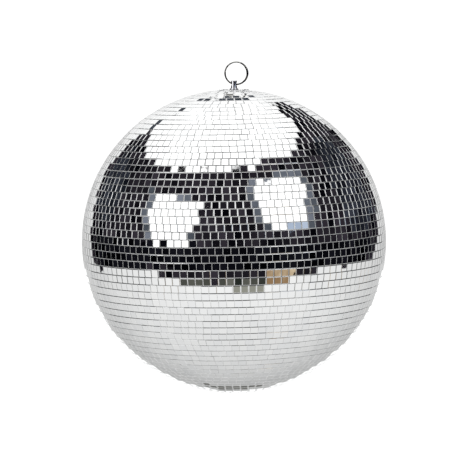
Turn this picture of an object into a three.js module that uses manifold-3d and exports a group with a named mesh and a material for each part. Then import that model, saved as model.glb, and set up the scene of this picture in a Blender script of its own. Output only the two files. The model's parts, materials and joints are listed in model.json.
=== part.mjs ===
// Mirror ball, 40 cm, with its hanging post and split ring.
// Millimetres, +Z up. The origin is the point on the inside of the ring that a hook bears on,
// and the ball's axis runs straight down from it. The front of the ball faces -Y.

import * as THREE from 'three';
import { mergeVertices } from 'three/addons/utils/BufferGeometryUtils.js';
import Module from 'manifold-3d';

// ---------------------------------------------------------------- driving dimensions

const BALL_RADIUS = 203;
const TILE_THICKNESS = 1.4;
const CORE_RADIUS = 200;
const CORE_WALL = 3;
const CORE_MOUTH_RADIUS = 23.5;
const FIT_GAP = 0.3;

const ROW_PITCH_DEG = 180 / 65;
const ROWS_NORTH = 29;
const ROWS_SOUTH = 32;
const ROWS_PER_STRIP = 2;
const STRIP_GAP = 0.4;
const STRIP_FACETS = 32;
const HIGH_STRIP_FACETS = 16;
const HIGH_STRIP_LATITUDE = 61;
const POLE_STRIP_FACETS = 8;
const POLE_STRIP_LATITUDE = 84;
const POLE_TILE_RADIUS = 4.5;
const POLE_TILE_SIDES = 8;
// The rows are laid a little out of square with the hanging axis.
const ROW_TILT_DEG = 1.2;

const RING_OUTER_RADIUS = 16;
const RING_WIRE_WIDTH = 2.2;
const RING_WIRE_THICKNESS = 1.2;
const RING_COIL_GAP = 0.1;
const RING_SHIFT = 3;
const RING_CROSSOVER_START_DEG = 141;
const RING_CROSSOVER_DEG = 45;
const RING_WIRE_CORNER = 0.3;

const HOLE_ABOVE_PLATE = 6.9;
const HOLE_RADIUS = 2.35;
const HOLE_FLARE = 0.061;
const POST_RADIUS = 4.25;
const POST_TOP_ABOVE_HOLE = 4.9;
const POST_CHAMFER = 0.5;
const COLLAR_RADIUS = 6;
const COLLAR_HEIGHT = 1.4;
const COLLAR_SIDE_HEIGHT = 1;
const COLLAR_CHAMFER = 0.5;
const SHANK_RADIUS = 3;
const SHANK_END_CHAMFER = 0.6;

const PLATE_RADIUS = 28.5;
const PLATE_CROWN = 202.6;
const PLATE_THICKNESS = 2;
const SHANK_CLEARANCE_RADIUS = 3.4;

const SCREW_COUNT = 4;
const SCREW_FIRST_DEG = 35;
const SCREW_CIRCLE_RADIUS = 20;
const SCREW_HEAD_RADIUS = 3.3;
const SCREW_HEAD_HEIGHT = 1.4;
const SCREW_HEAD_RIM_HEIGHT = 0.5;
const SCREW_HEAD_SHOULDER_RADIUS = 2.3;
const SCREW_HEAD_SHOULDER_HEIGHT = 1.2;
const SCREW_SHANK_RADIUS = 1.6;
const SCREW_SHANK_LENGTH = 13;
const SCREW_POINT_LENGTH = 1;
const SCREW_HOLE_RADIUS = 2;
const RECESS_LENGTH = 4.2;
const RECESS_WIDTH = 0.9;
const RECESS_DEPTH = 0.8;

const JOINT_RING_OUTER = 195.3;
const JOINT_RING_WALL = 2.3;
const JOINT_RING_HEIGHT = 24;

const BACKING_RADIUS = 37;
const BACKING_TOP = 192.2;
const BACKING_THICKNESS = 2;
const WASHER_OUTER = 9;
const WASHER_THICKNESS = 1.6;
const LOCK_WASHER_OUTER = 5.9;
const LOCK_WASHER_THICKNESS = 1.6;
const LOCK_WASHER_SLIT_DEG = 14;
const NUT_ACROSS_FLATS = 10;
const NUT_THICKNESS = 5;
const FASTENER_BORE = 3.3;
const THREAD_END = 2.5;

const SHELL_SEGMENTS = 32;
const SHELL_STEPS = 7;
const PLATE_STEPS = 4;
const ROUND_SEGMENTS = 24;
const SMALL_ROUND_SEGMENTS = 12;
const CROSS_HOLE_STEPS = 8;
const RING_STEPS = 64;
const CUT_ALLOWANCE = 1;
const MERGE_DISTANCE = 1e-4;

// ---------------------------------------------------------------- heights worked out from them

const ringInnerRadius = RING_OUTER_RADIUS - RING_WIRE_WIDTH;
const ringMeanRadius = RING_OUTER_RADIUS - RING_WIRE_WIDTH / 2;
const ringCentreZ = -Math.sqrt(ringInnerRadius ** 2 - RING_SHIFT ** 2);
const holeZ = ringCentreZ - Math.sqrt(ringMeanRadius ** 2 - RING_SHIFT ** 2);
const ballCentreZ = holeZ - HOLE_ABOVE_PLATE - PLATE_CROWN;

// ---------------------------------------------------------------- materials

function standardMaterial(color, roughness, metalness) {
  return new THREE.MeshStandardMaterial({ color, roughness, metalness, flatShading: true });
}

const mirrorGlass = standardMaterial(0xdfe3e6, 0.04, 1);
const corePlastic = standardMaterial(0xd9d9d4, 0.6, 0);
const chrome = standardMaterial(0xd4d6d8, 0.12, 1);
const zincSteel = standardMaterial(0xa9abab, 0.4, 1);

// ---------------------------------------------------------------- geometry helpers

const wasm = await Module();
wasm.setup();

function toSolid(geometry) {
  const bare = geometry.clone();
  bare.deleteAttribute('normal');
  bare.deleteAttribute('uv');
  const merged = mergeVertices(bare, MERGE_DISTANCE);
  const vertProperties = new Float32Array(merged.getAttribute('position').array);
  const triVerts = new Uint32Array(merged.getIndex().array);
  return new wasm.Manifold(new wasm.Mesh({ numProp: 3, vertProperties, triVerts }));
}

function toGeometry(solid) {
  const mesh = solid.getMesh();
  const geometry = new THREE.BufferGeometry();
  geometry.setAttribute('position', new THREE.BufferAttribute(mesh.vertProperties, 3));
  geometry.setIndex(new THREE.BufferAttribute(mesh.triVerts, 1));
  geometry.computeVertexNormals();
  return geometry;
}

function cut(geometry, cutters) {
  let solid = toSolid(geometry);
  for (const cutter of cutters) {
    solid = solid.subtract(toSolid(cutter));
  }
  return toGeometry(solid);
}

// Turns an outline of [distance from the axis, height] points about the Z axis.
function turned(outline, segments) {
  const points = outline.map(([radius, height]) => new THREE.Vector2(radius, height));
  return new THREE.LatheGeometry(points, segments).rotateX(Math.PI / 2);
}

// Points on a circle about the origin, from one latitude to another.
function latitudeArc(radius, fromDeg, toDeg, steps) {
  const points = [];
  for (let i = 0; i <= steps; i += 1) {
    const latitude = THREE.MathUtils.degToRad(THREE.MathUtils.lerp(fromDeg, toDeg, i / steps));
    points.push([radius * Math.cos(latitude), radius * Math.sin(latitude)]);
  }
  return points;
}

function latitudeAt(radius, distanceFromAxis) {
  return THREE.MathUtils.radToDeg(Math.acos(distanceFromAxis / radius));
}

function closed(outline) {
  return [...outline, outline[0]];
}

function flatRing(outerRadius, innerRadius, thickness) {
  const shape = new THREE.Shape().absarc(0, 0, outerRadius, 0, 2 * Math.PI);
  shape.holes.push(new THREE.Path().absarc(0, 0, innerRadius, 0, 2 * Math.PI));
  const options = { depth: thickness, bevelEnabled: false, curveSegments: ROUND_SEGMENTS / 2 };
  return new THREE.ExtrudeGeometry(shape, options);
}

function addPart(parent, name, geometry, material) {
  const mesh = new THREE.Mesh(geometry, material);
  mesh.name = name;
  parent.add(mesh);
  return mesh;
}

// ---------------------------------------------------------------- mirror tile strips

// A strip is a closed hoop of glass between two latitudes, thick enough for one layer of tiles.
// Strips nearer a pole have half as many facets, so neighbours meet only at shared corners.
function stripSegments(highestLatitude) {
  if (highestLatitude < HIGH_STRIP_LATITUDE) {
    return STRIP_FACETS;
  }
  return highestLatitude < POLE_STRIP_LATITUDE ? HIGH_STRIP_FACETS : POLE_STRIP_FACETS;
}

function stripGeometry(lowDeg, highDeg, segments) {
  const innerRadius = BALL_RADIUS - TILE_THICKNESS;
  const outer = latitudeArc(BALL_RADIUS, lowDeg, highDeg, 1);
  const inner = latitudeArc(innerRadius, highDeg, lowDeg, 1);
  return turned(closed([...outer, ...inner]), segments);
}

function addStrips(parent, side, rowCount, direction) {
  const halfGapDeg = THREE.MathUtils.radToDeg(STRIP_GAP / 2 / BALL_RADIUS);
  for (let row = 0; row < rowCount; row += ROWS_PER_STRIP) {
    const endRow = Math.min(row + ROWS_PER_STRIP, rowCount);
    const near = row * ROW_PITCH_DEG + halfGapDeg;
    const far = endRow * ROW_PITCH_DEG - halfGapDeg;
    const [low, high] = direction > 0 ? [near, far] : [-far, -near];
    const number = String(row / ROWS_PER_STRIP + 1).padStart(2, '0');
    const geometry = stripGeometry(low, high, stripSegments(far));
    addPart(parent, `tile_strip_${side}_${number}`, geometry, mirrorGlass);
  }
}

function addPoleTile(parent) {
  const geometry = new THREE.CylinderGeometry(
    POLE_TILE_RADIUS, POLE_TILE_RADIUS, TILE_THICKNESS, POLE_TILE_SIDES);
  geometry.rotateX(Math.PI / 2);
  const tile = addPart(parent, 'pole_tile', geometry, mirrorGlass);
  tile.position.z = TILE_THICKNESS / 2 - Math.sqrt(BALL_RADIUS ** 2 - POLE_TILE_RADIUS ** 2);
}

// ---------------------------------------------------------------- screws and the holes for them

// A screw's own frame has its head's underside at height 0 and its axis square to the dome.
function inScrewFrame(geometry, index) {
  const lean = Math.asin(SCREW_CIRCLE_RADIUS / PLATE_CROWN);
  const turn = THREE.MathUtils.degToRad(SCREW_FIRST_DEG + (360 / SCREW_COUNT) * index);
  return geometry.translate(0, 0, PLATE_CROWN + FIT_GAP).rotateY(lean).rotateZ(turn);
}

function screwHoleCutters() {
  const cutters = [];
  for (let i = 0; i < SCREW_COUNT; i += 1) {
    const depth = SCREW_SHANK_LENGTH + 2 * CUT_ALLOWANCE;
    const cutter = new THREE.CylinderGeometry(
      SCREW_HOLE_RADIUS, SCREW_HOLE_RADIUS, depth, SMALL_ROUND_SEGMENTS);
    cutter.rotateX(Math.PI / 2).translate(0, 0, CUT_ALLOWANCE - depth / 2);
    cutters.push(inScrewFrame(cutter, i));
  }
  return cutters;
}

function screwGeometry() {
  const body = turned([
    [0, -SCREW_SHANK_LENGTH],
    [SCREW_SHANK_RADIUS, SCREW_POINT_LENGTH - SCREW_SHANK_LENGTH],
    [SCREW_SHANK_RADIUS, 0],
    [SCREW_HEAD_RADIUS, 0],
    [SCREW_HEAD_RADIUS, SCREW_HEAD_RIM_HEIGHT],
    [SCREW_HEAD_SHOULDER_RADIUS, SCREW_HEAD_SHOULDER_HEIGHT],
    [0, SCREW_HEAD_HEIGHT],
  ], SMALL_ROUND_SEGMENTS);
  const recessHeight = RECESS_DEPTH + CUT_ALLOWANCE;
  const recessZ = SCREW_HEAD_HEIGHT - RECESS_DEPTH + recessHeight / 2;
  const slotX = new THREE.BoxGeometry(RECESS_LENGTH, RECESS_WIDTH, recessHeight);
  const slotY = new THREE.BoxGeometry(RECESS_WIDTH, RECESS_LENGTH, recessHeight);
  return cut(body, [slotX.translate(0, 0, recessZ), slotY.translate(0, 0, recessZ)]);
}

function addCapScrews(parent) {
  for (let i = 0; i < SCREW_COUNT; i += 1) {
    addPart(parent, `cap_screw_${i + 1}`, inScrewFrame(screwGeometry(), i), chrome);
  }
}

// ---------------------------------------------------------------- core of the ball

// The upper shell has a round mouth at the top, which the cap plate covers.
function upperShellGeometry() {
  const innerRadius = CORE_RADIUS - CORE_WALL;
  const rim = FIT_GAP / 2;
  const mouth = CORE_MOUTH_RADIUS;
  const rimLatitude = (radius) => THREE.MathUtils.radToDeg(Math.asin(rim / radius));
  const outer = latitudeArc(
    CORE_RADIUS, rimLatitude(CORE_RADIUS), latitudeAt(CORE_RADIUS, mouth), SHELL_STEPS);
  const inner = latitudeArc(
    innerRadius, latitudeAt(innerRadius, mouth), rimLatitude(innerRadius), SHELL_STEPS);
  return turned(closed([...outer, ...inner]), SHELL_SEGMENTS);
}

function lowerShellGeometry() {
  const innerRadius = CORE_RADIUS - CORE_WALL;
  const rim = FIT_GAP / 2;
  const rimLatitude = (radius) => -THREE.MathUtils.radToDeg(Math.asin(rim / radius));
  const outer = latitudeArc(CORE_RADIUS, -90, rimLatitude(CORE_RADIUS), SHELL_STEPS);
  const inner = latitudeArc(innerRadius, rimLatitude(innerRadius), -90, SHELL_STEPS);
  outer[0][0] = 0;
  inner[inner.length - 1][0] = 0;
  return turned([...outer, ...inner], SHELL_SEGMENTS);
}

function jointRingGeometry() {
  const inner = JOINT_RING_OUTER - JOINT_RING_WALL;
  const half = JOINT_RING_HEIGHT / 2;
  const outline = [
    [inner, -half],
    [JOINT_RING_OUTER, -half],
    [JOINT_RING_OUTER, half],
    [inner, half],
  ];
  return turned(closed(outline), SHELL_SEGMENTS);
}

function addCore(parent) {
  addPart(parent, 'core_upper_shell', upperShellGeometry(), corePlastic);
  addPart(parent, 'core_lower_shell', lowerShellGeometry(), corePlastic);
  addPart(parent, 'core_joint_ring', jointRingGeometry(), corePlastic);
}

// ---------------------------------------------------------------- cap plate and what clamps it

function capPlateGeometry() {
  const underside = PLATE_CROWN - PLATE_THICKNESS;
  const hole = SHANK_CLEARANCE_RADIUS;
  const top = latitudeArc(
    PLATE_CROWN, latitudeAt(PLATE_CROWN, PLATE_RADIUS), latitudeAt(PLATE_CROWN, hole), PLATE_STEPS);
  const bottom = latitudeArc(
    underside, latitudeAt(underside, hole), latitudeAt(underside, PLATE_RADIUS), PLATE_STEPS);
  return cut(turned(closed([...top, ...bottom]), ROUND_SEGMENTS), screwHoleCutters());
}

function backingPlateGeometry() {
  const disc = flatRing(BACKING_RADIUS, SHANK_CLEARANCE_RADIUS, BACKING_THICKNESS);
  disc.translate(0, 0, BACKING_TOP - BACKING_THICKNESS);
  return cut(disc, screwHoleCutters());
}

function lockWasherGeometry() {
  const half = THREE.MathUtils.degToRad(LOCK_WASHER_SLIT_DEG / 2);
  const shape = new THREE.Shape().absarc(0, 0, LOCK_WASHER_OUTER, half, 2 * Math.PI - half, false);
  shape.absarc(0, 0, FASTENER_BORE, 2 * Math.PI - half, half, true);
  return new THREE.ExtrudeGeometry(shape, {
    depth: LOCK_WASHER_THICKNESS,
    bevelEnabled: false,
    curveSegments: ROUND_SEGMENTS,
  });
}

function nutGeometry() {
  const cornerRadius = NUT_ACROSS_FLATS / Math.sqrt(3);
  const corners = [];
  const sides = 6;
  for (let i = 0; i < sides; i += 1) {
    const angle = (2 * Math.PI * i) / sides;
    corners.push(new THREE.Vector2(cornerRadius * Math.cos(angle), cornerRadius * Math.sin(angle)));
  }
  const shape = new THREE.Shape(corners);
  shape.holes.push(new THREE.Path().absarc(0, 0, FASTENER_BORE, 0, 2 * Math.PI));
  const options = { depth: NUT_THICKNESS, bevelEnabled: false, curveSegments: ROUND_SEGMENTS / 2 };
  return new THREE.ExtrudeGeometry(shape, options);
}

// Stacks the pieces below the backing plate, and returns the height of the lowest face.
function addClampStack(parent) {
  const stack = [
    ['plain_washer', flatRing(WASHER_OUTER, FASTENER_BORE, WASHER_THICKNESS), WASHER_THICKNESS],
    ['lock_washer', lockWasherGeometry(), LOCK_WASHER_THICKNESS],
    ['hex_nut', nutGeometry(), NUT_THICKNESS],
  ];
  let height = BACKING_TOP - BACKING_THICKNESS;
  for (const [name, geometry, thickness] of stack) {
    height -= FIT_GAP + thickness;
    addPart(parent, name, geometry, zincSteel).position.z = height;
  }
  return height;
}

// ---------------------------------------------------------------- hanging post and split ring

// The cross hole runs along X, and widens towards both mouths so the curved ring passes freely.
function crossHoleCutter() {
  const reach = POST_RADIUS + CUT_ALLOWANCE;
  const outline = [[0, -reach]];
  for (let i = 0; i <= CROSS_HOLE_STEPS; i += 1) {
    const along = THREE.MathUtils.lerp(-reach, reach, i / CROSS_HOLE_STEPS);
    outline.push([HOLE_RADIUS + HOLE_FLARE * along ** 2, along]);
  }
  outline.push([0, reach]);
  return turned(outline, ROUND_SEGMENTS).rotateY(Math.PI / 2);
}

// The post's own frame has the cross hole's axis at height 0.
function postGeometry(shankEnd) {
  const seat = FIT_GAP - HOLE_ABOVE_PLATE;
  const top = POST_TOP_ABOVE_HOLE;
  const body = turned([
    [0, shankEnd],
    [SHANK_RADIUS - SHANK_END_CHAMFER, shankEnd],
    [SHANK_RADIUS, shankEnd + SHANK_END_CHAMFER],
    [SHANK_RADIUS, seat],
    [COLLAR_RADIUS, seat],
    [COLLAR_RADIUS, seat + COLLAR_SIDE_HEIGHT],
    [COLLAR_RADIUS - COLLAR_CHAMFER, seat + COLLAR_HEIGHT],
    [POST_RADIUS, seat + COLLAR_HEIGHT],
    [POST_RADIUS, top - POST_CHAMFER],
    [POST_RADIUS - POST_CHAMFER, top],
    [0, top],
  ], ROUND_SEGMENTS);
  return cut(body, [crossHoleCutter()]);
}

// The wire's centre line: once round in the front layer, a diagonal step, once round behind it.
class SplitRingCurve extends THREE.Curve {
  getPoint(t, target = new THREE.Vector3()) {
    const layerDeg = 360 - RING_CROSSOVER_DEG;
    const travelled = t * (2 * layerDeg + RING_CROSSOVER_DEG);
    const angle = THREE.MathUtils.degToRad(RING_CROSSOVER_START_DEG + RING_CROSSOVER_DEG + travelled);
    const layerOffset = (RING_WIRE_THICKNESS + RING_COIL_GAP) / 2;
    const crossed = THREE.MathUtils.smoothstep(travelled, layerDeg, layerDeg + RING_CROSSOVER_DEG);
    const depth = THREE.MathUtils.lerp(-layerOffset, layerOffset, crossed);
    return target.set(ringMeanRadius * Math.cos(angle), depth, ringMeanRadius * Math.sin(angle));
  }
}

function wireSection() {
  const halfThickness = RING_WIRE_THICKNESS / 2;
  const halfWidth = RING_WIRE_WIDTH / 2;
  const corner = RING_WIRE_CORNER;
  return new THREE.Shape([
    new THREE.Vector2(halfThickness, corner - halfWidth),
    new THREE.Vector2(halfThickness, halfWidth - corner),
    new THREE.Vector2(halfThickness - corner, halfWidth),
    new THREE.Vector2(corner - halfThickness, halfWidth),
    new THREE.Vector2(-halfThickness, halfWidth - corner),
    new THREE.Vector2(-halfThickness, corner - halfWidth),
    new THREE.Vector2(corner - halfThickness, -halfWidth),
    new THREE.Vector2(halfThickness - corner, -halfWidth),
  ]);
}

function splitRingGeometry() {
  const options = { steps: RING_STEPS, extrudePath: new SplitRingCurve(), bevelEnabled: false };
  return new THREE.ExtrudeGeometry(wireSection(), options);
}

// ---------------------------------------------------------------- assembly

const mirrorBall = new THREE.Group();

const ring = addPart(mirrorBall, 'split_ring', splitRingGeometry(), chrome);
ring.position.set(RING_SHIFT, 0, ringCentreZ);

const ball = new THREE.Group();
ball.position.z = ballCentreZ;
mirrorBall.add(ball);

addPart(ball, 'cap_plate', capPlateGeometry(), chrome);
addCapScrews(ball);
addCore(ball);
addPart(ball, 'backing_plate', backingPlateGeometry(), zincSteel);
const nutUnderside = addClampStack(ball);

const shankEnd = ballCentreZ + nutUnderside - THREAD_END - holeZ;
const post = addPart(mirrorBall, 'hanging_post', postGeometry(shankEnd), chrome);
post.position.z = holeZ;

const tileField = new THREE.Group();
tileField.rotation.y = -THREE.MathUtils.degToRad(ROW_TILT_DEG);
ball.add(tileField);
addStrips(tileField, 'north', ROWS_NORTH, 1);
addStrips(tileField, 'south', ROWS_SOUTH, -1);
addPoleTile(tileField);

export default mirrorBall;
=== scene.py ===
"""Mirror ball: every mirror tile, the core behind it and its hanging hardware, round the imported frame."""

import json
import math
import random

import bmesh
import bpy
from mathutils import Matrix, Vector


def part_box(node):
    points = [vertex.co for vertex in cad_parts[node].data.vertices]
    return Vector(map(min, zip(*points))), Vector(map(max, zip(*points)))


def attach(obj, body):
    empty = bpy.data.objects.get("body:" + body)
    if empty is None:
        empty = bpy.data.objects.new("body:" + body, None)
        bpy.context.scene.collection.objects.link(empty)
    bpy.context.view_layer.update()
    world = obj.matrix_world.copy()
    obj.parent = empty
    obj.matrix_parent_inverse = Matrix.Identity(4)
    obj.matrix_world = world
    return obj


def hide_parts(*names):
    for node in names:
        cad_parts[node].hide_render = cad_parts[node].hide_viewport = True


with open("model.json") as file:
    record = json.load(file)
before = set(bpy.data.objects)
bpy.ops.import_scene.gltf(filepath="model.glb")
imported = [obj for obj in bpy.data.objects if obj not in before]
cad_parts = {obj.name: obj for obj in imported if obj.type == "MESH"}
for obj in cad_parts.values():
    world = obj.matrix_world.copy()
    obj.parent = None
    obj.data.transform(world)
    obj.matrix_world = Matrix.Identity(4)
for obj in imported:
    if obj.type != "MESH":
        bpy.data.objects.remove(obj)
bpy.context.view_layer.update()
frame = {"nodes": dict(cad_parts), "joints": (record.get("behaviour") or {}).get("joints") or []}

# ---------------------------------------------------------------- sizes, in metres and radians

# Round parts are given by their radii. The ball's own size comes from the frame, further down.

MM = 0.001

# 65 rows of tiles from pole to pole. They are counted from 0 at the equator.
ROW_PITCH = math.radians(180 / 65)
ROW_TILT = math.radians(1.2)
ROWS = {"north": 29, "south": 32}
ROWS_PER_STRIP = 2
# From this row on, the tiles' pole side is cut narrower.
CUT_ROWS_FROM = 29

TILE_SIDE = 9.45 * MM
TILE_THICKNESS = 1.4 * MM
TILE_PITCH = 10.05 * MM
TILE_MIN_GAP = 0.12 * MM
CUT_TILE_GAP = 0.7 * MM
# Steps of the rounded edge, from the flat face outwards: width and slope.
TILE_BEVELS = ((0.14 * MM, math.radians(9)), (0.28 * MM, math.radians(25)), (0.14 * MM, math.radians(43)))

# How unevenly the tiles are laid: spreads of a tile's lean, a row's lean and a tile's turn in its
# own plane, and the deepest that a tile is pressed in.
TILE_LEAN = math.radians(0.45)
ROW_LEAN = math.radians(0.15)
TILE_SPIN = math.radians(0.5)
TILE_SINK = 0.06 * MM

# The trimmed tiles beside the cap plate.
CRESCENT_GAP = 0.3 * MM
CRESCENT_MIN_HEIGHT = 3 * MM

# The adhesive in the joints between the tiles of one row, below the tiles' faces.
JOINT_DEPTH = 0.38 * MM
JOINT_THICKNESS = 0.25 * MM
JOINT_SETBACK = 0.25 * MM
JOINT_SEGMENTS = 120

# The core: how far its outside is below the tiles' faces, its wall, and the cap plate's seat.
BED_DEPTH = 0.65 * MM
CORE_WALL = 3 * MM
CORE_MOUTH = 23.5 * MM
CORE_JOINT_HALF_GAP = 0.1 * MM
CORE_SEAT_DEPTH = 2.2 * MM
CORE_SEAT_CLEARANCE = 0.25 * MM
CORE_SEAT_BEVEL = 0.3 * MM
CORE_STEPS = 48
CORE_SEAT_STEPS = 8
CORE_SEGMENTS = 192

PLATE_MARGIN = 0.5 * MM
PLATE_THICKNESS = 2 * MM
PLATE_BORE = 3.4 * MM
PLATE_SEGMENTS = 128

SCREW_COUNT = 4
SCREW_CIRCLE = 20 * MM
SCREW_HEAD = 3.3 * MM
SCREW_HEAD_HEIGHT = 1.4 * MM
SCREW_HEAD_RIM = 0.35 * MM
# The head's dome: 1 is an ellipse, less is fuller.
SCREW_HEAD_FULLNESS = 0.55
SCREW_SHANK = 1.6 * MM
SCREW_LENGTH = 13 * MM
SCREW_THREADS = 10
SCREW_THREAD_PITCH = 1 * MM
SCREW_THREAD_DEPTH = 0.35 * MM
# Length and width of each of the two crossed slots.
SCREW_SLOT = (4 * MM, 0.85 * MM)
SCREW_SLOT_HEIGHT = 1.5 * MM
SCREW_SLOT_TAPER = 0.55
# Between the plate's crown and the screw heads and the post's collar.
SEAT_CLEARANCE = 0.05 * MM

POST_SHANK = 3 * MM
POST_NECK = 4.25 * MM
POST_COLLAR = 6 * MM
POST_THREAD_PITCH = 1 * MM
POST_THREAD_DEPTH = 0.45 * MM
POST_PLAIN_SHANK = 3 * MM
POST_TOP_ROUND = 0.8 * MM
POST_HOLE = 2.35 * MM
# Growth of the cross hole's radius with the square of the distance from its middle, in 1/m.
POST_HOLE_FLARE = 61

RING_WIRE_WIDTH = 2.2 * MM
RING_WIRE_THICKNESS = 1.2 * MM
RING_COIL_GAP = 0.1 * MM
RING_COIL_OFFSET = (RING_WIRE_THICKNESS + RING_COIL_GAP) / 2
# The diagonal step from one coil to the other. Angles go round the ring from +X over the top.
RING_CROSSOVER_START = math.radians(141)
RING_CROSSOVER = math.radians(45)
RING_TWIST = math.radians(35)
# The stretch before the crossover where the coils are sprung apart and rolled outwards.
RING_ROLLED_START = math.radians(62)
RING_ROLLED_RAMP = math.radians(12)
RING_ROLL = math.radians(34)
RING_ROLLED_SPREAD = 0.32
# How far the front coil lies inwards, and the rear coil outwards, at the ring's right side.
RING_COIL_SHIFT = 0.4 * MM
RING_STEPS = 360
RING_SECTION_SIDES = 24

# ---------------------------------------------------------------- places worked out from the frame

upper_shell_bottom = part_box("core_upper_shell")[0].z
lower_shell_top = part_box("core_lower_shell")[1].z
BALL_CENTRE = Vector((0, 0, (upper_shell_bottom + lower_shell_top) / 2))

strip_low, strip_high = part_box("tile_strip_north_01")
BALL_RADIUS = (strip_high.y - strip_low.y) / 2
BED_RADIUS = BALL_RADIUS - BED_DEPTH

plate_low, plate_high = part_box("cap_plate")
PLATE_RADIUS = (plate_high.x - plate_low.x) / 2
PLATE_CROWN = plate_high.z - BALL_CENTRE.z

ring_low, ring_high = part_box("split_ring")
RING_CENTRE = (ring_low + ring_high) / 2
RING_OUTER = (ring_high.x - ring_low.x) / 2

post_low, post_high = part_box("hanging_post")
HOLE_HEIGHT = frame["joints"][0]["pos_m"][2]

# From the tile field's own frame, whose Z axis is square to the rows, to the object's.
TILE_FIELD = Matrix.Translation(BALL_CENTRE) @ Matrix.Rotation(-ROW_TILT, 4, "Y")

# ---------------------------------------------------------------- sizes of the stage

# The light tent's glow: its level at the sides, and how it changes with direction.
LIGHT_TENT_RADIUS = 40.0
TENT_LEVEL = 0.84
TENT_FRONT_GAIN = 0.13
TENT_TOP_GAIN = 0.55
TENT_LOW_BEHIND_LOSS = 0.7
TENT_UNDERNEATH_LOSS = 0.09

# The cards that hang in front of it, and the fineness of their grids.
CARD_SPACING = 1.0
CARD_STEP_DEGREES = 4
CARD_LEVELS = 12

FLOOR_HALF_SIDE = 100.0
FLOOR_DROP = 3.5

CAMERA_ELEVATION = math.radians(5.06)
CAMERA_DISTANCE = 16.2 * BALL_RADIUS
CAMERA_LENS = 194.6
# The point that the camera looks at, from the ball's centre: across, and up in the picture.
CAMERA_AIM_ACROSS = -8.65 * MM
CAMERA_AIM_UP = 18.15 * MM

# A point of a turned outline that is nearer to the axis than this is on it.
ON_AXIS = 1e-9

rng = random.Random(7)


# ---------------------------------------------------------------- node helpers


def new_material(name):
    material = bpy.data.materials.new(name)
    material.use_nodes = True
    nodes = material.node_tree.nodes
    return material, nodes, material.node_tree.links, nodes["Principled BSDF"]


def noise(nodes, links, scale, detail=3.0, vector=None):
    """Noise with about this many waves to the metre, near 0.5 on average."""
    node = nodes.new("ShaderNodeTexNoise")
    node.inputs["Scale"].default_value = scale
    node.inputs["Detail"].default_value = detail
    if vector is None:
        vector = nodes.new("ShaderNodeTexCoord").outputs["Object"]
    links.new(vector, node.inputs["Vector"])
    return node.outputs["Fac"]


def remap(nodes, links, value, low, high, to_low, to_high):
    """Carries low..high over to to_low..to_high, and keeps the result within it."""
    node = nodes.new("ShaderNodeMapRange")
    node.inputs["From Min"].default_value = low
    node.inputs["From Max"].default_value = high
    node.inputs["To Min"].default_value = to_low
    node.inputs["To Max"].default_value = to_high
    links.new(value, node.inputs["Value"])
    return node.outputs["Result"]


def mix_colour(nodes, links, factor, first, second):
    """From the first colour at 0 to the second at 1. A colour is a tuple or a node's output."""
    node = nodes.new("ShaderNodeMix")
    node.data_type = "RGBA"
    links.new(factor, node.inputs["Factor"])
    for socket, colour in ((node.inputs[6], first), (node.inputs[7], second)):
        if isinstance(colour, tuple):
            socket.default_value = (*colour, 1)
        else:
            links.new(colour, socket)
    return node.outputs[2]


def arithmetic(nodes, links, operation, first, second):
    """A Math node. Each side is a number or a node's output."""
    node = nodes.new("ShaderNodeMath")
    node.operation = operation
    for socket, value in zip(node.inputs, (first, second)):
        if isinstance(value, (int, float)):
            socket.default_value = value
        else:
            links.new(value, socket)
    return node.outputs[0]


def scaled(nodes, links, value, factor, offset):
    """The value times the factor, plus the offset."""
    result = arithmetic(nodes, links, "MULTIPLY_ADD", value, factor)
    result.node.inputs[2].default_value = offset
    return result


def bump(nodes, links, shader, height, strength, distance):
    """Raises the shader's surface by the height, up to the distance in metres."""
    node = nodes.new("ShaderNodeBump")
    node.inputs["Strength"].default_value = strength
    node.inputs["Distance"].default_value = distance
    links.new(height, node.inputs["Height"])
    links.new(node.outputs["Normal"], shader.inputs["Normal"])


# ---------------------------------------------------------------- materials of the object


def mirror_material():
    """Silvered glass: a bright metal under clear glass, the silver a little eaten at the cut edges."""
    material, nodes, links, shader = new_material("mirror_tile")
    tone = nodes.new("ShaderNodeAttribute")
    tone.attribute_name = "tile_tone"
    tint = mix_colour(nodes, links, tone.outputs["Fac"], (0.89, 0.9, 0.905), (0.945, 0.95, 0.945))
    parts = nodes.new("ShaderNodeSeparateXYZ")
    links.new(nodes.new("ShaderNodeTexCoord").outputs["UV"], parts.inputs[0])
    sides = []
    for axis in "XY":
        centred = arithmetic(nodes, links, "SUBTRACT", parts.outputs[axis], 0.5)
        sides.append(arithmetic(nodes, links, "ABSOLUTE", centred, 0.0))
    edge = arithmetic(nodes, links, "MAXIMUM", sides[0], sides[1])
    ragged = scaled(nodes, links, noise(nodes, links, 1400), 0.05, 0.462)
    lost = remap(nodes, links, arithmetic(nodes, links, "SUBTRACT", edge, ragged), 0.008, 0.02, 0, 0.5)
    links.new(mix_colour(nodes, links, lost, tint, (0.3, 0.3, 0.29)), shader.inputs["Base Color"])
    smudge = remap(nodes, links, noise(nodes, links, 55, 5), 0.45, 0.75, 0.012, 0.05)
    links.new(smudge, shader.inputs["Roughness"])
    shader.inputs["Metallic"].default_value = 1
    shader.inputs["Coat Weight"].default_value = 0.35
    shader.inputs["Coat Roughness"].default_value = 0.02
    bump(nodes, links, shader, noise(nodes, links, 90, 1), 0.05, 0.0004)
    return material


def glass_edge_material():
    """The ground sides of the tiles: pale glass with chips."""
    material, nodes, links, shader = new_material("tile_glass_edge")
    chips = noise(nodes, links, 900)
    colour = mix_colour(nodes, links, chips, (0.16, 0.2, 0.18), (0.45, 0.49, 0.47))
    links.new(colour, shader.inputs["Base Color"])
    links.new(remap(nodes, links, chips, 0.3, 0.7, 0.12, 0.3), shader.inputs["Roughness"])
    shader.inputs["Metallic"].default_value = 0.4
    bump(nodes, links, shader, chips, 0.3, 0.0002)
    return material


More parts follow.
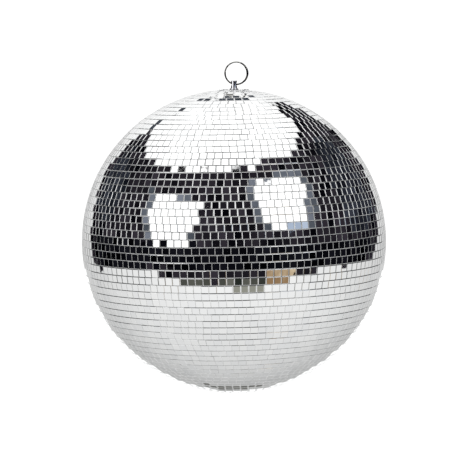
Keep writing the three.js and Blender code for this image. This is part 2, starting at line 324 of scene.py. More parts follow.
def blotched_material(name, dark, light, roughness_low, roughness_high):
    """A matt surface in two greys, finely pitted."""
    material, nodes, links, shader = new_material(name)
    blotches = remap(nodes, links, noise(nodes, links, 70, 4), 0.35, 0.65, 0, 1)
    links.new(mix_colour(nodes, links, blotches, dark, light), shader.inputs["Base Color"])
    roughness = remap(nodes, links, noise(nodes, links, 260), 0.3, 0.7, roughness_low, roughness_high)
    links.new(roughness, shader.inputs["Roughness"])
    bump(nodes, links, shader, noise(nodes, links, 1500), 0.35, 0.0002)
    return material


def joint_material():
    """Pale adhesive pressed up between the tiles, with pinholes and dust."""
    return blotched_material("joint_adhesive", (0.5, 0.5, 0.5), (0.72, 0.72, 0.72), 0.3, 0.5)


def core_material():
    """Dark grey moulded plastic with a film of adhesive smeared over it, darkened further as painted shade
    in the gaps.
    """
    # Painted shade: these greys are darker than the plastic itself, for the shade deep in the gaps between
    # the tiles.
    return blotched_material("core_plastic", (0.03, 0.03, 0.03), (0.08, 0.08, 0.08), 0.32, 0.55)


def bright_metal(name, dark, light, roughness_low, roughness_high, scale, metal_bump):
    """Plated metal with fine polishing marks and handling smears."""
    material, nodes, links, shader = new_material(name)
    coordinates = nodes.new("ShaderNodeTexCoord").outputs["Object"]
    mapping = nodes.new("ShaderNodeMapping")
    mapping.inputs["Scale"].default_value = scale
    links.new(coordinates, mapping.inputs["Vector"])
    streaks = noise(nodes, links, 1, 4, mapping.outputs["Vector"])
    smears = noise(nodes, links, 160, 4)
    links.new(mix_colour(nodes, links, smears, dark, light), shader.inputs["Base Color"])
    mixed = arithmetic(nodes, links, "MULTIPLY", streaks, smears)
    roughness = remap(nodes, links, mixed, 0.12, 0.4, roughness_low, roughness_high)
    links.new(roughness, shader.inputs["Roughness"])
    shader.inputs["Metallic"].default_value = 1
    bump(nodes, links, shader, streaks, metal_bump, 0.00005)
    return material


# ---------------------------------------------------------------- mesh helpers


def link(name, mesh, materials):
    """A new object in the scene."""
    obj = bpy.data.objects.new(name, mesh)
    bpy.context.scene.collection.objects.link(obj)
    for material in materials:
        mesh.materials.append(material)
    return obj


def turned_rings(bm, outline, segments):
    """One ring of vertices for each (radius, height) point; a point on the axis is a single vertex."""
    rings = []
    for radius, height in outline:
        if radius < ON_AXIS:
            rings.append([bm.verts.new((0, 0, height))])
            continue
        ring = []
        for i in range(segments):
            angle = 2 * math.pi * i / segments
            ring.append(bm.verts.new((radius * math.cos(angle), radius * math.sin(angle), height)))
        rings.append(ring)
    return rings


def join_rings(bm, first, second, segments):
    """Faces between two turned rings, triangles where one of them is a single vertex."""
    for i in range(segments):
        j = (i + 1) % segments
        corners = [first[i % len(first)], first[j % len(first)]]
        corners += [second[j % len(second)], second[i % len(second)]]
        bm.faces.new(list(dict.fromkeys(corners)))


def turned(outline, segments):
    """Closed bmesh of (radius, height) points turned about Z, from axis to axis or back to its start."""
    bm = bmesh.new()
    rings = turned_rings(bm, outline, segments)
    for first, second in zip(rings, rings[1:]):
        join_rings(bm, first, second, segments)
    if len(rings[0]) > 1:
        join_rings(bm, rings[-1], rings[0], segments)
    bmesh.ops.recalc_face_normals(bm, faces=bm.faces)
    return bm


def turned_bowl(outside, inside, segments):
    """A bowl: the outside runs from its rim to the axis, the inside from the axis to its rim."""
    bm = bmesh.new()
    outer_rings = turned_rings(bm, outside, segments)
    inner_rings = turned_rings(bm, inside, segments)
    for rings in (outer_rings, inner_rings):
        for first, second in zip(rings, rings[1:]):
            join_rings(bm, first, second, segments)
    join_rings(bm, outer_rings[0], inner_rings[-1], segments)
    bmesh.ops.recalc_face_normals(bm, faces=bm.faces)
    return bm


def to_object(bm, name, materials, sharp_angle=35):
    """A smooth object with its sharp edges kept, in place of the bmesh. The angle is in degrees."""
    mesh = bpy.data.meshes.new(name)
    bm.to_mesh(mesh)
    bm.free()
    mesh.shade_smooth()
    mesh.set_sharp_from_angle(angle=math.radians(sharp_angle))
    return link(name, mesh, materials)


def latitude_arc(radius, start, end, steps):
    """Points on a circle about the origin from one latitude to another, as (distance, height)."""
    points = []
    for i in range(steps + 1):
        latitude = start + (end - start) * i / steps
        points.append((radius * math.cos(latitude), radius * math.sin(latitude)))
    return points


def subtract(obj, cutters, sharp_angle=35):
    """Cuts the cutters out of obj for good, and removes them."""
    for cutter in cutters:
        modifier = obj.modifiers.new("cut", "BOOLEAN")
        modifier.operation = "DIFFERENCE"
        modifier.solver = "EXACT"
        modifier.object = cutter
    graph = bpy.context.evaluated_depsgraph_get()
    mesh = bpy.data.meshes.new_from_object(obj.evaluated_get(graph))
    obj.modifiers.clear()
    obj.data = mesh
    for cutter in cutters:
        bpy.data.objects.remove(cutter)
    mesh.shade_smooth()
    mesh.set_sharp_from_angle(angle=math.radians(sharp_angle))


def install(obj, node, body):
    """Puts a finished piece in a CAD node's place."""
    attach(obj, body)
    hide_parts(node)


# ---------------------------------------------------------------- mirror tiles


# Places of the materials in a tile mesh's slots.
MIRROR_INDEX, EDGE_INDEX, JOINT_INDEX = 0, 1, 2


class TileBatch:
    """Collects glass slabs and turns them into one mesh."""

    def __init__(self):
        self.vertices = []
        self.faces = []
        self.face_material = []
        self.face_tone = []
        self.uvs = []

    def add(self, place, outline):
        """A slab whose polished face has this outline, in the tile's own plane, corners anticlockwise."""
        count = len(outline)
        first = len(self.vertices)
        tone = rng.random()
        centre = sum(outline, Vector((0, 0))) / count
        reach = max((corner - centre).length for corner in outline)
        for inset, height in tile_levels():
            shrink = 1 - inset * math.sqrt(2) / reach
            for corner in outline:
                flat = centre + (corner - centre) * shrink
                self.vertices.append(place @ Vector((flat.x, flat.y, height)))
        self._face([first + i for i in range(count)], MIRROR_INDEX, tone)
        levels = len(TILE_BEVELS) + 1
        for level in range(levels):
            material = MIRROR_INDEX if level < len(TILE_BEVELS) else EDGE_INDEX
            upper, lower = first + level * count, first + (level + 1) * count
            for i in range(count):
                j = (i + 1) % count
                self._face([lower + i, lower + j, upper + j, upper + i], material, tone, is_edge=True)
        base = first + levels * count
        self._face([base + i for i in reversed(range(count))], EDGE_INDEX, tone, is_edge=True)

    def add_joint_band(self, latitude):
        """A closed ring of adhesive under the middle of a row."""
        outer = BALL_RADIUS - JOINT_DEPTH
        half = (TILE_SIDE / 2 - JOINT_SETBACK) / BALL_RADIUS
        inner = outer - JOINT_THICKNESS
        section = []
        for radius, angle in ((outer, -half), (outer, half), (inner, half), (inner, -half)):
            section.append((radius * math.cos(latitude + angle), radius * math.sin(latitude + angle)))
        first = len(self.vertices)
        for i in range(JOINT_SEGMENTS):
            turn = 2 * math.pi * i / JOINT_SEGMENTS
            for distance, height in section:
                point = Vector((distance * math.cos(turn), distance * math.sin(turn), height))
                self.vertices.append(TILE_FIELD @ point)
        count = len(section)
        for i in range(JOINT_SEGMENTS):
            here, there = first + i * count, first + (i + 1) % JOINT_SEGMENTS * count
            for j in range(count):
                k = (j + 1) % count
                self._face([here + j, there + j, there + k, here + k], JOINT_INDEX, 0.5, is_edge=True)

    def _face(self, corners, material, tone, is_edge=False):
        """The UV square is only on the polished faces, and shows how near a point is to the edge."""
        self.faces.append(corners)
        self.face_material.append(material)
        self.face_tone.append(tone)
        if len(corners) == 4 and not is_edge:
            self.uvs.extend(((0, 0), (1, 0), (1, 1), (0, 1)))
        else:
            self.uvs.extend([(0.5, 0.5)] * len(corners))

    def to_object(self, name):
        mesh = bpy.data.meshes.new(name)
        mesh.from_pydata(self.vertices, [], self.faces)
        mesh.polygons.foreach_set("material_index", self.face_material)
        tones = mesh.attributes.new("tile_tone", "FLOAT", "FACE")
        tones.data.foreach_set("value", self.face_tone)
        layer = mesh.uv_layers.new(name="tile")
        layer.data.foreach_set("uv", [value for uv in self.uvs for value in uv])
        mesh.update()
        return link(name, mesh, [MIRROR, GLASS_EDGE, JOINT])


def tile_levels():
    """(distance in from the outline, height) of each level of a slab, from the flat face down."""
    inset = sum(width for width, slope in TILE_BEVELS)
    height = 0
    levels = [(inset, height)]
    for width, slope in TILE_BEVELS:
        inset -= width
        height -= width * math.tan(slope)
        levels.append((inset, height))
    levels.append((0, -TILE_THICKNESS))
    return levels


def tile_place(latitude, longitude, row_lean):
    """Where a tile lies: its own Z axis points out of the ball, Y to the north pole."""
    east = Vector((math.cos(longitude), math.sin(longitude), 0))
    level = Vector((math.sin(longitude), -math.cos(longitude), 0))
    out = level * math.cos(latitude) + Vector((0, 0, math.sin(latitude)))
    north = out.cross(east)
    axes = Matrix((east, north, out)).transposed().to_4x4()
    sag = TILE_SIDE ** 2 / 4 / BALL_RADIUS
    lift = Matrix.Translation(out * (BALL_RADIUS - sag - rng.uniform(0, TILE_SINK)))
    lean_north = Matrix.Rotation(rng.gauss(row_lean, TILE_LEAN), 4, "X")
    lean_east = Matrix.Rotation(rng.gauss(0, TILE_LEAN), 4, "Y")
    spin = Matrix.Rotation(rng.gauss(0, TILE_SPIN), 4, "Z")
    return TILE_FIELD @ lift @ axes @ lean_north @ lean_east @ spin


def tile_outline(low_width, high_width, low, high):
    """A four-sided tile in its own plane, from low to high, with the widths of its two sides."""
    return [
        Vector((-low_width / 2, low)),
        Vector((low_width / 2, low)),
        Vector((high_width / 2, high)),
        Vector((-high_width / 2, high)),
    ]


def row_radii(latitude):
    """Distances from the tile field's axis to a row's equator edge, middle and pole edge."""
    half = TILE_SIDE / 2 * abs(math.sin(latitude))
    middle = BALL_RADIUS * math.cos(latitude)
    return middle + half, middle, middle - half


def add_row(batch, row, side):
    """One ring of tiles and the adhesive under it. Side is 1 north of the equator and -1 south."""
    latitude = (row + 0.5) * ROW_PITCH * side
    wide, middle, narrow = row_radii(latitude)
    phase = rng.uniform(0, 2 * math.pi)
    row_lean = rng.gauss(0, ROW_LEAN)
    if row < CUT_ROWS_FROM:
        most = int(2 * math.pi * narrow / (TILE_SIDE + TILE_MIN_GAP))
        count = min(round(2 * math.pi * middle / TILE_PITCH), most)
        pole_width = TILE_SIDE
    else:
        count = round(2 * math.pi * wide / TILE_PITCH)
        pole_width = 2 * math.pi * narrow / count - CUT_TILE_GAP
    half = TILE_SIDE / 2
    widths = (TILE_SIDE, pole_width) if side > 0 else (pole_width, TILE_SIDE)
    batch.add_joint_band(latitude)
    for i in range(count):
        longitude = phase + 2 * math.pi * i / count
        batch.add(tile_place(latitude, longitude, row_lean), tile_outline(*widths, -half, half))


def add_crescent(batch):
    """Trimmed tiles in the space that the rows' lean leaves beside the cap plate."""
    row = ROWS["north"]
    latitude = (row + 0.5) * ROW_PITCH
    wide = row_radii(latitude)[0]
    count = round(2 * math.pi * wide / TILE_PITCH)
    low_width = min(TILE_SIDE, 2 * math.pi * wide / count - CUT_TILE_GAP)
    half = TILE_SIDE / 2
    offset = BALL_RADIUS * math.sin(ROW_TILT)
    for i in range(count):
        longitude = math.radians(270) + 2 * math.pi * (i - count // 2) / count
        direction = Vector((math.sin(longitude), -math.cos(longitude)))
        across = -offset * direction.x
        clear = math.sqrt((PLATE_RADIUS + PLATE_MARGIN) ** 2 - (offset * direction.y) ** 2) - across
        height = min(wide - clear, TILE_SIDE) - CRESCENT_GAP
        if height < CRESCENT_MIN_HEIGHT:
            continue
        pole_width = min(TILE_SIDE, 2 * math.pi * (wide - height) / count - CUT_TILE_GAP)
        outline = tile_outline(low_width, pole_width, -half, height - half)
        batch.add(tile_place(latitude, longitude, 0), outline)


def add_tile_strips():
    """Two rows to a piece, like the CAD strips that they stand for."""
    for name, side in (("north", 1), ("south", -1)):
        for first_row in range(0, ROWS[name], ROWS_PER_STRIP):
            batch = TileBatch()
            last_row = min(first_row + ROWS_PER_STRIP, ROWS[name])
            for row in range(first_row, last_row):
                add_row(batch, row, side)
            if name == "north" and last_row == ROWS[name]:
                add_crescent(batch)
            number = f"{name}_{first_row // ROWS_PER_STRIP + 1:02d}"
            strip = batch.to_object(f"mirror_tiles_{number}")
            install(strip, f"tile_strip_{number}", "ball")


def add_pole_tile():
    """The single cut tile that closes the south end of the rows."""
    batch = TileBatch()
    low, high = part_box("pole_tile")
    radius = (high.y - low.y) / 2
    sides = 8
    outline = []
    for i in range(sides):
        angle = 2 * math.pi * (i + 0.5) / sides
        outline.append(Vector((radius * math.cos(angle), radius * math.sin(angle))))
    batch.add(tile_place(-math.pi / 2, 0, 0), outline)
    install(batch.to_object("mirror_pole_tile"), "pole_tile", "ball")


# ---------------------------------------------------------------- core


def upper_core_outline():
    """A shell with a mouth at the top, and a step round it that the cap plate sits in."""
    inner = BED_RADIUS - CORE_WALL
    seat = PLATE_CROWN - CORE_SEAT_DEPTH
    step = PLATE_RADIUS + CORE_SEAT_CLEARANCE
    gap = CORE_JOINT_HALF_GAP
    bed_end = math.acos((step + CORE_SEAT_BEVEL) / BED_RADIUS)
    outline = latitude_arc(BED_RADIUS, gap / BED_RADIUS, bed_end, CORE_STEPS)
    outline += latitude_arc(seat, math.acos(step / seat), math.acos(CORE_MOUTH / seat), CORE_SEAT_STEPS)
    outline += latitude_arc(inner, math.acos(CORE_MOUTH / inner), gap / inner, CORE_STEPS)
    return outline


def add_core():
    """The two half shells that the tiles are glued to."""
    inner = BED_RADIUS - CORE_WALL
    upper = to_object(turned(upper_core_outline(), CORE_SEGMENTS), "core_upper", [CORE])
    gap = CORE_JOINT_HALF_GAP
    outside = latitude_arc(BED_RADIUS, -gap / BED_RADIUS, -math.pi / 2, CORE_STEPS)
    inside = latitude_arc(inner, -math.pi / 2, -gap / inner, CORE_STEPS)
    lower = to_object(turned_bowl(outside, inside, CORE_SEGMENTS), "core_lower", [CORE])
    for obj, node in ((upper, "core_upper_shell"), (lower, "core_lower_shell")):
        obj.data.transform(Matrix.Translation(BALL_CENTRE))
        install(obj, node, "ball")


# ---------------------------------------------------------------- cap plate and screws


def screw_place(index):
    """From a screw's own frame, head's underside at height 0, to its place square to the dome."""
    low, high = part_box(f"cap_screw_{index + 1}")
    middle = (low + high) / 2
    turn = Matrix.Rotation(math.atan2(middle.y, middle.x), 4, "Z")
    lean = Matrix.Rotation(math.asin(SCREW_CIRCLE / PLATE_CROWN), 4, "Y")
    lift = Matrix.Translation((0, 0, PLATE_CROWN + SEAT_CLEARANCE))
    return Matrix.Translation(BALL_CENTRE) @ turn @ lean @ lift


def add_cap_plate():
    """A domed washer, with its outer edge rounded over."""
    top, underside = PLATE_CROWN, PLATE_CROWN - PLATE_THICKNESS
    edge_round = 0.5 * MM
    rim = PLATE_RADIUS - edge_round
    outline = latitude_arc(top, math.acos(rim / top), math.acos(PLATE_BORE / top), 16)
    underside_end = math.acos(PLATE_RADIUS / underside)
    outline += latitude_arc(underside, math.acos(PLATE_BORE / underside), underside_end, 8)
    edge_top = math.sqrt(top ** 2 - PLATE_RADIUS ** 2) - edge_round
    outline.append((PLATE_RADIUS, edge_top))
    outline.append((PLATE_RADIUS - 0.3 * edge_round, edge_top + 0.7 * edge_round))
    plate = to_object(turned(outline, PLATE_SEGMENTS), "cap_plate_dome", [PLATE_METAL])
    plate.data.transform(Matrix.Translation(BALL_CENTRE))
    install(plate, "cap_plate", "ball")


def screw_outline():
    """From the point up the threaded shank to the crown of the head, whose underside is at height 0."""
    pitch = SCREW_THREAD_PITCH
    outline = [(0, -SCREW_LENGTH), (SCREW_SHANK, pitch - SCREW_LENGTH)]
    for i in range(SCREW_THREADS):
        z = (1.5 + i) * pitch - SCREW_LENGTH
        outline += [(SCREW_SHANK, z), (SCREW_SHANK - SCREW_THREAD_DEPTH, z + 0.4 * pitch)]
    outline += [(SCREW_SHANK, -0.4 * pitch), (SCREW_SHANK, 0)]
    outline += [(SCREW_HEAD, 0), (SCREW_HEAD, SCREW_HEAD_RIM)]
    dome = SCREW_HEAD_HEIGHT - SCREW_HEAD_RIM
    steps = 8
    for i in range(1, steps):
        angle = math.pi / 2 * i / steps
        radius = SCREW_HEAD * math.cos(angle) ** SCREW_HEAD_FULLNESS
        outline.append((radius, SCREW_HEAD_RIM + dome * math.sin(angle)))
    outline.append((0, SCREW_HEAD_HEIGHT))
    return outline


def slot_cutter(size_x, size_y):
    """A block that narrows downwards, half of it in the head."""
    bm = bmesh.new()
    bmesh.ops.create_cube(bm, size=1)
    bmesh.ops.scale(bm, verts=bm.verts, vec=(size_x, size_y, SCREW_SLOT_HEIGHT))
    for vertex in bm.verts:
        if vertex.co.z < 0:
            vertex.co.x *= SCREW_SLOT_TAPER
            vertex.co.y *= SCREW_SLOT_TAPER
    bmesh.ops.translate(bm, verts=bm.verts, vec=(0, 0, SCREW_HEAD_HEIGHT))
    return to_object(bm, "slot", [])


def pan_screw():
    """A threaded screw with a domed head and a cross slot."""
    sharp_angle = 40
    screw = to_object(turned(screw_outline(), 48), "screw", [SCREW_METAL], sharp_angle)
    length, width = SCREW_SLOT
    subtract(screw, [slot_cutter(length, width), slot_cutter(width, length)], sharp_angle)
    return screw


def add_cap_screws():
    """Copies of one screw, each with its slots turned its own way."""
    pattern = pan_screw()
    for i in range(SCREW_COUNT):
        screw = link(f"pan_screw_{i + 1}", pattern.data.copy(), [])
        screw.data.transform(screw_place(i) @ Matrix.Rotation(rng.uniform(0, math.pi), 4, "Z"))
        install(screw, f"cap_screw_{i + 1}", "ball")
    bpy.data.objects.remove(pattern)


# ---------------------------------------------------------------- post and ring


def post_outline(bottom, seat, top):
    """From the threaded end up to the seat on the plate, the collar, and the rounded top."""
    tip = 0.6 * MM
    outline = [(0, bottom), (POST_SHANK - tip, bottom), (POST_SHANK, bottom + tip)]
    z = bottom + POST_THREAD_PITCH
    while z < seat - POST_PLAIN_SHANK:
        outline += [(POST_SHANK, z), (POST_SHANK - POST_THREAD_DEPTH, z + POST_THREAD_PITCH / 2)]
        z += POST_THREAD_PITCH
    outline += [(POST_SHANK, z), (POST_SHANK, seat), (POST_COLLAR, seat)]
    # How far each point of the two curves stands out from its cylinder, and its height over the seat.
    collar_edge = ((0, 0.9), (-0.12, 1.2), (-0.5, 1.4))
    fillet = ((0.5, 1.45), (0.12, 1.6), (0, 2))
    for cylinder, curve in ((POST_COLLAR, collar_edge), (POST_NECK, fillet)):
        outline += [(cylinder + out * MM, seat + height * MM) for out, height in curve]
    steps = 6
    for i in range(steps + 1):
        angle = math.pi / 2 * i / steps
        radius = POST_NECK - POST_TOP_ROUND * (1 - math.cos(angle))
        outline.append((radius, top - POST_TOP_ROUND * (1 - math.sin(angle))))
    outline.append((0, top))
    return outline


def eye_cutter():
    """A round bar along X, thicker towards its ends, that leaves a flared cross hole."""
    reach = POST_NECK + 1 * MM
    half_steps = 12
    profile = [(0, -reach)]
    for i in range(2 * half_steps + 1):
        along = reach * (i / half_steps - 1)
        profile.append((POST_HOLE + POST_HOLE_FLARE * along ** 2, along))
    profile.append((0, reach))
    cutter = to_object(turned(profile, 72), "eye", [])
    cutter.data.transform(Matrix.Rotation(math.pi / 2, 4, "Y"))
    return cutter


def add_post():
    """Built with the cross hole's axis at height 0, then lifted to its place."""
    bottom = post_low.z - HOLE_HEIGHT
    seat = PLATE_CROWN + BALL_CENTRE.z - HOLE_HEIGHT + SEAT_CLEARANCE
    top = post_high.z - HOLE_HEIGHT
    sharp_angle = 30
    outline = post_outline(bottom, seat, top)
    post = to_object(turned(outline, 96), "post_with_eye", [POST_METAL], sharp_angle)
    subtract(post, [eye_cutter()], sharp_angle)
    post.data.transform(Matrix.Translation((0, 0, HOLE_HEIGHT)))
    install(post, "hanging_post", "ball")


def flattened_section(thickness, width, sides):
    """Points round the rolled wire, flat-faced with full edges, as (across the coil, outwards)."""
    face_fullness, edge_fullness = 0.55, 0.85
    points = []
    for i in range(sides):
        angle = 2 * math.pi * i / sides
        x, y = math.cos(angle), math.sin(angle)
        across = math.copysign(abs(x) ** face_fullness, x) * thickness / 2
        outwards = math.copysign(abs(y) ** edge_fullness, y) * width / 2
        points.append((across, outwards))
    return points


def eased(share):
    """A share of the way from 0 to 1, with a soft start and end."""
    share = min(max(share, 0), 1)
    return share * share * (3 - 2 * share)


def rolled_share(angle):
    """How far the wire is rolled outwards at this angle round the ring, from 0 to 1."""
    angle %= 2 * math.pi
    inside = min(angle - RING_ROLLED_START, RING_CROSSOVER_START - angle)
    return eased(inside / RING_ROLLED_RAMP)


def wire_section(travelled, layer, section):
    """The wire's section in its place, this far along it. The step starts at the end of the first layer."""
    angle = RING_CROSSOVER_START + RING_CROSSOVER + travelled
    crossed = min(max((travelled - layer) / RING_CROSSOVER, 0), 1)
    rolled = rolled_share(angle)
    depth = RING_COIL_OFFSET * (2 * eased(crossed) - 1) * (1 + RING_ROLLED_SPREAD * rolled)
    twist = RING_TWIST * math.sin(math.pi * crossed) - RING_ROLL * rolled
    shift = RING_COIL_SHIFT * (2 * crossed - 1) * max(math.cos(angle), 0) ** 2
    mean = RING_OUTER - RING_WIRE_WIDTH / 2
    outward = Vector((math.cos(angle), 0, math.sin(angle)))
    centre = RING_CENTRE + outward * (mean + shift) + Vector((0, depth, 0))
    points = []
    for x, y in section:
        across = x * math.cos(twist) - y * math.sin(twist)
        out = x * math.sin(twist) + y * math.cos(twist)
        points.append(centre + Vector((0, across, 0)) + outward * out)
    return points


def add_split_ring():
    """Once round in the front layer, a diagonal step between the wire's two ends, once round behind."""
    section = flattened_section(RING_WIRE_THICKNESS, RING_WIRE_WIDTH, RING_SECTION_SIDES)
    layer = 2 * math.pi - RING_CROSSOVER
    total = 2 * layer + RING_CROSSOVER
    bm = bmesh.new()
    rings = []
    for i in range(RING_STEPS + 1):
        points = wire_section(total * i / RING_STEPS, layer, section)
        rings.append([bm.verts.new(point) for point in points])
    for first, second in zip(rings, rings[1:]):
        join_rings(bm, first, second, RING_SECTION_SIDES)
    bm.faces.new(rings[0])
    bm.faces.new(rings[-1])
    bmesh.ops.recalc_face_normals(bm, faces=bm.faces)
    ring = to_object(bm, "split_ring_wire", [RING_METAL], 50)
    install(ring, "split_ring", "ring")


# ---------------------------------------------------------------- stage


def glow(name, strength=1.0):
    """A material that only glows, and its emission node's inputs."""
    material = bpy.data.materials.new(name)
    material.use_nodes = True
    nodes = material.node_tree.nodes
    nodes.clear()
    emission = nodes.new("ShaderNodeEmission")
    emission.inputs["Strength"].default_value = strength
    output = nodes.new("ShaderNodeOutputMaterial")
    material.node_tree.links.new(emission.outputs[0], output.inputs[0])
    return material, emission.inputs


def plain_glow(name, colour, strength=1.0):
    """Evenly lit cloth."""
    material, inputs = glow(name, strength)
    inputs["Color"].default_value = (*colour, 1)
    return material


def mottled_glow(name, dark, light, scale):
    """Cloth and clutter in shade, from one colour to another."""
    material, inputs = glow(name)
    nodes, links = material.node_tree.nodes, material.node_tree.links
    patches = remap(nodes, links, noise(nodes, links, scale, 4), 0.38, 0.66, 0, 1)
    links.new(mix_colour(nodes, links, patches, dark, light), inputs["Color"])
    return material


def tent_glow():
    """White cloth all round, brighter overhead and in front than underneath and low down behind."""
    material, inputs = glow("light_tent")
    nodes, links = material.node_tree.nodes, material.node_tree.links

    def calculate(operation, first, second):
        return arithmetic(nodes, links, operation, first, second)

    aim = nodes.new("ShaderNodeVectorMath")
    aim.operation = "NORMALIZE"
    links.new(nodes.new("ShaderNodeTexCoord").outputs["Object"], aim.inputs[0])
    parts = nodes.new("ShaderNodeSeparateXYZ")
    links.new(aim.outputs[0], parts.inputs[0])
    backwards, upwards = parts.outputs["Y"], parts.outputs["Z"]
    above = calculate("MAXIMUM", upwards, 0.0)
    below = calculate("MAXIMUM", calculate("MULTIPLY", upwards, -1.0), 0.0)
    behind = calculate("MAXIMUM", backwards, 0.0)
    level = scaled(nodes, links, backwards, -TENT_FRONT_GAIN, TENT_LEVEL)
    lit = calculate("ADD", level, calculate("MULTIPLY", above, TENT_TOP_GAIN))
    low_behind = calculate("MULTIPLY", calculate("POWER", behind, 2.0), below)
    low_behind = calculate("MULTIPLY", low_behind, TENT_LOW_BEHIND_LOSS)
    underneath = calculate("MULTIPLY", calculate("POWER", below, 3.0), TENT_UNDERNEATH_LOSS)
    shade = calculate("ADD", low_behind, underneath)
    links.new(calculate("SUBTRACT", lit, shade), inputs["Strength"])
    return material


def hide_from_all_but_mirrors(obj):
    obj.visible_camera = False
    obj.visible_diffuse = False
    obj.visible_shadow = False
    obj.visible_transmission = False


def add_light_tent():
    """A ball of white cloth round everything, which only shows in reflections."""
    bm = bmesh.new()
    bmesh.ops.create_icosphere(bm, subdivisions=4, radius=LIGHT_TENT_RADIUS)
    bmesh.ops.translate(bm, verts=bm.verts, vec=BALL_CENTRE)
    hide_from_all_but_mirrors(to_object(bm, "light_tent", [tent_glow()], 180))


def direction(azimuth, elevation):
    """Azimuth 0 points from the ball to the front (-Y) and grows towards +X; both in degrees."""
    a, e = math.radians(azimuth), math.radians(elevation)
    return Vector((math.sin(a) * math.cos(e), -math.cos(a) * math.cos(e), math.sin(e)))


def card(name, layer, columns, material):
    """A studio card that only shows in reflections. Columns are (azimuth, low, high) in degrees.

    A card of a higher layer hangs in front of the lower ones.
    """
    radius = LIGHT_TENT_RADIUS - CARD_SPACING * (layer + 1)
    dense = []
    for first, second in zip(columns, columns[1:]):
        steps = max(1, math.ceil(abs(second[0] - first[0]) / CARD_STEP_DEGREES))
        for i in range(steps):
            dense.append([a + (b - a) * i / steps for a, b in zip(first, second)])
    dense.append(columns[-1])
    bm = bmesh.new()
    grid = []
    for azimuth, low, high in dense:
        column = []
        for i in range(CARD_LEVELS + 1):
            height = low + (high - low) * i / CARD_LEVELS
            column.append(bm.verts.new(BALL_CENTRE + direction(azimuth, height) * radius))
        grid.append(column)
    for left, right in zip(grid, grid[1:]):
        for i in range(CARD_LEVELS):
            bm.faces.new((left[i], right[i], right[i + 1], left[i + 1]))
    hide_from_all_but_mirrors(to_object(bm, name, [material]))


def add_dark_room():
    """The unlit side of the studio, behind the camera."""
    room = [(-147, 12, 34), (-140, 5, 37), (-133, -7.5, 38.5), (-125, -12, 39.5), (-110, -13.5, 42)]
    room += [(-90, -14, 46), (-75, -14, 49), (-62, -18, 51), (-48, -24, 54), (-25, -27.5, 57.5)]
    room += [(0, -28, 60), (22, -27.5, 62), (35, -25, 66), (46, -22, 66), (62, -18, 61)]
    room += [(75, -14, 59), (90, -13.5, 57), (120, -11, 53), (135, -5.5, 50), (147, 6, 47.5)]
    room += [(155, 12, 44.5), (162, 21, 40.5), (168, 31, 36)]
    shade = mottled_glow("room_shade", (0.0015, 0.0015, 0.003), (0.036, 0.031, 0.041), 0.22)
    card("dark_room", 0, room, shade)
    low_room = [(-128, -9.5, 0.5), (-110, -12, 1), (-90, -13, 1), (-45, -14, 1)]
    low_room += [(0, -17, 1), (45, -14, 1), (90, -12, 0.5), (125, -7, 0)]
    deep_shade = mottled_glow("deep_shade", (0.0005, 0.0005, 0.001), (0.009, 0.009, 0.014), 0.25)
    card("dark_room_low", 1, low_room, deep_shade)
    blue = mottled_glow("blue_shade", (0.006, 0.007, 0.011), (0.036, 0.041, 0.056), 0.3)
    card("dark_room_right", 1, [(98, 4, 36), (120, 2, 44), (138, 6, 42)], blue)
    card("dark_room_left", 1, [(-138, 8, 33), (-120, 4, 30), (-104, 8, 26)], blue)
    stand = mottled_glow("stand_grey", (0.02, 0.024, 0.02), (0.15, 0.15, 0.13), 0.35)
    card("stand", 1, [(-45, -25.8, -22.5), (-20, -26.5, -22), (22, -26.5, -22)], stand)
    foot = plain_glow("foot_grey", (0.3, 0.3, 0.26))
    card("stand_foot", 1, [(-4, -32.5, -28), (8, -33.5, -28), (21, -32.5, -28)], foot)
    board = mottled_glow("board_tan", (0.3, 0.19, 0.1), (0.8, 0.66, 0.46), 0.9)
    card("board", 2, [(26, -27, -17), (34, -27, -16), (46, -23, -16)], board)


def add_windows():
    """Two windows in the dark room, each with a frosted edge, and the right one with a blue sill."""
    daylight = plain_glow("daylight", (1, 1, 1), 1.5)
    frost = mottled_glow("frosted_edge", (0.06, 0.07, 0.085), (0.22, 0.24, 0.29), 0.5)
    left_edge = [(-79, 27, 32), (-74, 12, 33), (-70, 4, 34), (-66, 0.5, 34)]
    left_edge += [(-52, 0.5, 36), (-38, 0.5, 36), (-29, 0.5, 33)]
    card("left_window_edge", 2, left_edge, frost)
    left = [(-71, 27, 32.5), (-67, 9, 33.5), (-65, 1.5, 34), (-53, 1, 34)]
    left += [(-50, 1, 32.5), (-34, 1, 32.5), (-30, 12, 33), (-24, 29, 33)]
    card("left_window", 3, left, daylight)
    right_edge = [(13, 38, 46), (17, 18, 49), (26, 11, 51), (60, 9, 51), (73, 24, 47)]
    card("right_window_edge", 2, right_edge, frost)
    sill = mottled_glow("sill_blue", (0.34, 0.42, 0.55), (0.5, 0.58, 0.72), 0.6)
    card("right_window_sill", 3, [(38, 9.5, 15.5), (60, 9.5, 16.5)], sill)
    right = [(18, 42, 46), (23, 22, 48), (29, 12.5, 49), (38, 12.5, 49)]
    right += [(40, 15, 49), (60, 16, 47), (64, 28, 46), (69, 42, 44.5)]
    card("right_window", 4, right, daylight)


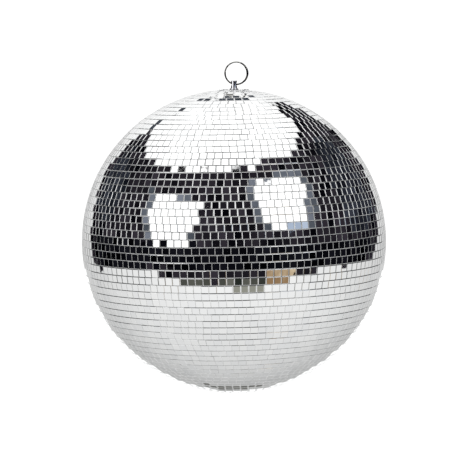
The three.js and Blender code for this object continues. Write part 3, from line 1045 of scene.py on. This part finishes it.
def add_rear_trim():
    """The dark edge of the white sweep behind the ball, and below it the lit floor and a painted shadow on
    it.
    """
    edge = mottled_glow("sweep_edge", (0.035, 0.042, 0.055), (0.1, 0.11, 0.13), 1.5)
    bar = [(173.6, 29.5, 34.5), (174.4, 31, 36), (176.1, 33.6, 38.8), (178.4, 35.2, 40.6)]
    bar += [(181, 35.7, 41), (183.7, 35, 40.4), (186, 33.2, 38.4), (187.6, 30.4, 35.8)]
    bar += [(189, 27.4, 33.2), (190, 25, 31)]
    card("rear_bar", 2, bar, edge)
    mark = plain_glow("mark_grey", (0.2, 0.2, 0.19))
    card("rear_mark", 2, [(179, 31, 34), (182.5, 31, 34)], mark)
    left_trim = [(-168, 37.6, 39.4), (-164, 36.6, 39), (-154, 33.4, 36.4)]
    left_trim += [(-150, 32.4, 35.8), (-145, 31, 36)]
    card("left_trim", 2, left_trim, edge)
    bright = plain_glow("bright_cloth", (1, 1, 1), 1.2)
    card("rear_floor_light", 1, [(162, -27, -8), (180, -30, -5), (198, -27, -8)], bright)
    # Painted shadow: a dim grey card low behind the ball, for the shade on the floor there.
    gap = plain_glow("floor_shadow_grey", (0.16, 0.16, 0.15))
    card("rear_floor_shadow", 2, [(173, -41, -35), (180, -42.5, -34), (189, -41, -35)], gap)


def add_floor():
    """Far enough below the ball to take no shadow; the light tent stands for it in reflections."""
    bm = bmesh.new()
    size = FLOOR_HALF_SIDE
    height = BALL_CENTRE.z - FLOOR_DROP
    corners = [(-size, -size), (size, -size), (size, size), (-size, size)]
    bm.faces.new([bm.verts.new((x, y, height)) for x, y in corners])
    material, nodes, links, shader = new_material("studio_floor")
    mottle = noise(nodes, links, 2.5, 2)
    colour = mix_colour(nodes, links, mottle, (0.93, 0.93, 0.93), (0.96, 0.96, 0.96))
    links.new(colour, shader.inputs["Base Color"])
    shader.inputs["Roughness"].default_value = 0.8
    shader.inputs["Specular IOR Level"].default_value = 0.1
    floor = to_object(bm, "floor", [material])
    floor.visible_glossy = False


def add_world():
    """Even white light from all round."""
    world = bpy.data.worlds.new("studio")
    world.use_nodes = True
    background = world.node_tree.nodes["Background"]
    background.inputs["Color"].default_value = (1, 1, 1, 1)
    background.inputs["Strength"].default_value = 1.15
    bpy.context.scene.world = world
    bpy.context.scene.view_settings.view_transform = "Standard"


def add_camera():
    """The ball's centre lies a little right of and below the middle of the frame."""
    cosine, sine = math.cos(CAMERA_ELEVATION), math.sin(CAMERA_ELEVATION)
    back = Vector((0, -cosine, sine))
    up = Vector((0, sine, cosine))
    data = bpy.data.cameras.new("camera")
    data.lens = CAMERA_LENS
    data.clip_end = 10 * LIGHT_TENT_RADIUS
    camera = bpy.data.objects.new("camera", data)
    bpy.context.scene.collection.objects.link(camera)
    target = BALL_CENTRE + Vector((CAMERA_AIM_ACROSS, 0, 0)) + up * CAMERA_AIM_UP
    camera.location = BALL_CENTRE + back * CAMERA_DISTANCE
    camera.rotation_mode = "QUATERNION"
    camera.rotation_quaternion = (target - camera.location).to_track_quat("-Z", "Y")
    bpy.context.scene.camera = camera


def refinish(node, material):
    """Gives a carried-over CAD node a better material."""
    materials = frame["nodes"][node].data.materials
    materials.clear()
    materials.append(material)


# ---------------------------------------------------------------- assembly

MIRROR = mirror_material()
GLASS_EDGE = glass_edge_material()
JOINT = joint_material()
CORE = core_material()
PLATE_METAL = bright_metal(
    "plate_chrome", (0.8, 0.81, 0.81), (0.92, 0.93, 0.93), 0.34, 0.5, (900, 900, 60), 0.3)
POST_METAL = bright_metal(
    "post_chrome", (0.76, 0.76, 0.8), (0.88, 0.88, 0.91), 0.05, 0.14, (200, 200, 3000), 0.5)
RING_METAL = bright_metal(
    "ring_steel", (0.4, 0.4, 0.38), (0.57, 0.57, 0.55), 0.06, 0.16, (1500, 1500, 1500), 0.15)
SCREW_METAL = bright_metal(
    "screw_chrome", (0.86, 0.87, 0.87), (0.95, 0.95, 0.95), 0.4, 0.55, (1200, 1200, 1200), 0.25)
ZINC = bright_metal(
    "zinc_steel", (0.5, 0.51, 0.52), (0.7, 0.71, 0.71), 0.3, 0.5, (400, 400, 400), 0.4)

add_camera()
add_world()
add_floor()
add_light_tent()
add_dark_room()
add_windows()
add_rear_trim()
add_tile_strips()
add_pole_tile()
add_core()
add_cap_plate()
add_cap_screws()
add_post()
add_split_ring()

for hidden_node in ("backing_plate", "plain_washer", "lock_washer", "hex_nut"):
    refinish(hidden_node, ZINC)
refinish("core_joint_ring", CORE)
